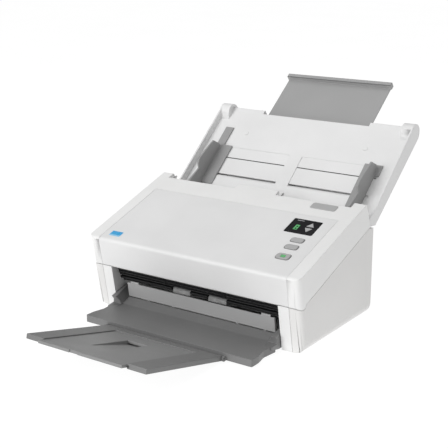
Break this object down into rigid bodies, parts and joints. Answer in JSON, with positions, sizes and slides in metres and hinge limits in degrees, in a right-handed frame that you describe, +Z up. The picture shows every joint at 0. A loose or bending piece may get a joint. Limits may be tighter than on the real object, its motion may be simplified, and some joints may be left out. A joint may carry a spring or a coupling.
{
  "type": "sheet fed document scanner",
  "caption": "Desktop sheet fed document scanner: wedge body with hinged cover, folding input tray with side guides, and folding output tray.",
  "frame": {"origin": "on the floor, on the middle plane, under the middle of the whole object's box as it stands with its trays open", "axes": "+X to the user's right when facing the machine, +Y to the back, +Z up"},
  "size_m": [0.316, 0.5742, 0.2728],
  "materials": {
    "white_shell": "fine satin texture",
    "side_shell": "fine satin texture",
    "front_shell": "fine satin texture",
    "tray_white": "fine satin texture",
    "guide_grey": "satin",
    "sheet_grey": "satin",
    "tray_grey": "fine satin texture",
    "insert_grey": "fine satin texture",
    "lip_grey": "satin",
    "black_plastic": "satin",
    "display_black": "glossy",
    "green_light": "lit, translucent",
    "button_grey": "satin",
    "roller_rubber": "matte",
    "dark_rubber": "matte",
    "steel_rod": "ground",
    "zinc_plate": "zinc plated",
    "circuit_board": "solder mask",
    "metal_port": "nickel plated",
    "sensor_glass": "polished"
  },
  "bodies": {
    "base": {"base_frame": "white_shell", "side_panel_left": "side_shell", "side_panel_right": "side_shell", "bottom_plate": "zinc_plate", "foot_1": "dark_rubber", "foot_2": "dark_rubber", "foot_3": "dark_rubber", "foot_4": "dark_rubber", "lower_guide": "black_plastic", "exit_lip": "lip_grey", "feed_ramp": "white_shell", "lower_sensor": "black_plastic", "lower_glass": "sensor_glass", "motor": "zinc_plate", "drive_belt": "dark_rubber", "main_board": "circuit_board", "usb_port": "metal_port", "power_jack": "black_plastic"},
    "motor_pulley": {"motor_pulley": "black_plastic"},
    "feed_rollers": {"feed_shaft": "black_plastic", "feed_roller": "dark_rubber"},
    "drive_rollers": {"drive_shaft": "black_plastic", "drive_roller": "dark_rubber"},
    "exit_rollers": {"exit_shaft": "black_plastic", "exit_roller_left": "roller_rubber", "exit_roller_right": "roller_rubber"},
    "cover": {"cover_frame": "white_shell", "front_panel": "front_shell", "display_window": "display_black", "display_digit": "green_light", "upper_guide": "black_plastic", "upper_sensor": "black_plastic", "upper_glass": "sensor_glass", "control_board": "circuit_board", "hinge_pin_left": "steel_rod", "hinge_pin_right": "steel_rod"},
    "key_up": {"key_up": "button_grey"},
    "key_down": {"key_down": "button_grey"},
    "button_upper": {"button_upper": "button_grey"},
    "button_lower": {"button_lower": "button_grey"},
    "power_button": {"power_button": "button_grey", "power_lamp": "green_light"},
    "release_button": {"release_button": "button_grey"},
    "latch": {"latch_shaft": "steel_rod", "latch_hook_left": "black_plastic", "latch_hook_right": "black_plastic"},
    "pad": {"pad_holder": "black_plastic", "separation_pad": "dark_rubber"},
    "drive_idler": {"drive_idler": "black_plastic"},
    "exit_idler": {"exit_idler": "black_plastic"},
    "input_tray": {"input_tray": "tray_white", "tray_back_panel": "tray_white"},
    "tray_extension": {"tray_extension": "sheet_grey"},
    "guide_left": {"guide_left": "guide_grey"},
    "guide_right": {"guide_right": "guide_grey"},
    "guide_pinion": {"guide_pinion": "black_plastic"},
    "output_tray": {"output_tray": "tray_grey"},
    "output_extension": {"output_extension": "tray_grey"},
    "output_plate": {"output_plate": "insert_grey"}
  },
  "joints": [
    {"name": "cover_hinge", "type": "hinge", "parent": "base", "child": "cover", "pos_m": [0, -0.08114, 0.066], "axis": [1, 0, 0], "range_deg": [0, 55]},
    {"name": "release_press", "type": "slide", "parent": "cover", "child": "release_button", "axis": [0, 0.3151, -0.9491], "range_m": [0, 0.0025], "stiffness_N_per_m": 400, "springref_m": -0.001},
    {"name": "latch_turn", "type": "hinge", "parent": "cover", "child": "latch", "pos_m": [0, 0.05326, 0.124], "axis": [-1, 0, 0], "range_deg": [0, 8]},
    {"name": "key_up_press", "type": "slide", "parent": "cover", "child": "key_up", "axis": [0, 0.3151, -0.9491], "range_m": [0, 0.0006], "stiffness_N_per_m": 400, "springref_m": -0.001},
    {"name": "key_down_press", "type": "slide", "parent": "cover", "child": "key_down", "axis": [0, 0.3151, -0.9491], "range_m": [0, 0.0006], "stiffness_N_per_m": 400, "springref_m": -0.001},
    {"name": "button_upper_press", "type": "slide", "parent": "cover", "child": "button_upper", "axis": [0, 0.3151, -0.9491], "range_m": [0, 0.001], "stiffness_N_per_m": 400, "springref_m": -0.001},
    {"name": "button_lower_press", "type": "slide", "parent": "cover", "child": "button_lower", "axis": [0, 0.3151, -0.9491], "range_m": [0, 0.001], "stiffness_N_per_m": 400, "springref_m": -0.001},
    {"name": "power_press", "type": "slide", "parent": "cover", "child": "power_button", "axis": [0, 0.3151, -0.9491], "range_m": [0, 0.001], "stiffness_N_per_m": 400, "springref_m": -0.001},
    {"name": "pad_lift", "type": "hinge", "parent": "cover", "child": "pad", "pos_m": [0, 0.03264, 0.08661], "axis": [1, 0, 0], "range_deg": [0, 3], "stiffness_Nm_per_rad": 1, "springref_deg": -2.86},
    {"name": "input_tray_fold", "type": "hinge", "parent": "base", "child": "input_tray", "pos_m": [0, 0.09236, 0.126], "axis": [-1, 0, 0], "range_deg": [-50, 0]},
    {"name": "tray_extension_slide", "type": "slide", "parent": "input_tray", "child": "tray_extension", "axis": [0, 0.7902, 0.6129], "range_m": [-0.072, 0]},
    {"name": "guide_left_slide", "type": "slide", "parent": "input_tray", "child": "guide_left", "axis": [-1, 0, 0], "range_m": [-0.07, 0]},
    {"name": "guide_right_slide", "type": "slide", "parent": "input_tray", "child": "guide_right", "axis": [1, 0, 0], "range_m": [-0.07, 0]},
    {"name": "guide_pinion_turn", "type": "hinge", "parent": "input_tray", "child": "guide_pinion", "pos_m": [0, 0.13155, 0.14142], "axis": [0, -0.6561, 0.7547], "range_deg": [-669, 0]},
    {"name": "output_tray_fold", "type": "hinge", "parent": "base", "child": "output_tray", "pos_m": [0, -0.06964, 0.0082], "axis": [1, 0, 0], "range_deg": [-55, 0]},
    {"name": "output_extension_fold", "type": "hinge", "parent": "output_tray", "child": "output_extension", "pos_m": [0, -0.14114, 0.0047], "axis": [-1, 0, 0], "range_deg": [-13.5, 70]},
    {"name": "output_plate_slide", "type": "slide", "parent": "output_extension", "child": "output_plate", "axis": [0, -0.9703, 0.2419], "range_m": [0, 0.085]},
    {"name": "motor_turn", "type": "hinge", "parent": "base", "child": "motor_pulley", "pos_m": [0, 0.00936, 0.026], "axis": [1, 0, 0], "continuous": true},
    {"name": "feed_turn", "type": "hinge", "parent": "base", "child": "feed_rollers", "pos_m": [0, 0.04786, 0.07179], "axis": [1, 0, 0], "continuous": true},
    {"name": "drive_turn", "type": "hinge", "parent": "base", "child": "drive_rollers", "pos_m": [0, 0.01981, 0.06415], "axis": [1, 0, 0], "continuous": true},
    {"name": "exit_turn", "type": "hinge", "parent": "base", "child": "exit_rollers", "pos_m": [0, -0.05895, 0.03886], "axis": [1, 0, 0], "continuous": true},
    {"name": "drive_idler_turn", "type": "hinge", "parent": "cover", "child": "drive_idler", "pos_m": [0, 0.01475, 0.07869], "axis": [1, 0, 0], "continuous": true},
    {"name": "exit_idler_turn", "type": "hinge", "parent": "cover", "child": "exit_idler", "pos_m": [0, -0.06336, 0.05151], "axis": [1, 0, 0], "continuous": true}
  ],
  "couplings": [
    {"joint": "latch_turn", "follows": "release_press", "rad_per_m": 55.8},
    {"joint": "guide_right_slide", "follows": "guide_left_slide", "ratio": 1},
    {"joint": "guide_pinion_turn", "follows": "guide_left_slide", "rad_per_m": 166.67},
    {"joint": "feed_turn", "follows": "motor_turn", "ratio": 0.66667},
    {"joint": "drive_turn", "follows": "motor_turn", "ratio": 0.8},
    {"joint": "exit_turn", "follows": "motor_turn", "ratio": 1},
    {"joint": "drive_idler_turn", "follows": "motor_turn", "ratio": -1.6},
    {"joint": "exit_idler_turn", "follows": "motor_turn", "ratio": -1.6}
  ]
}
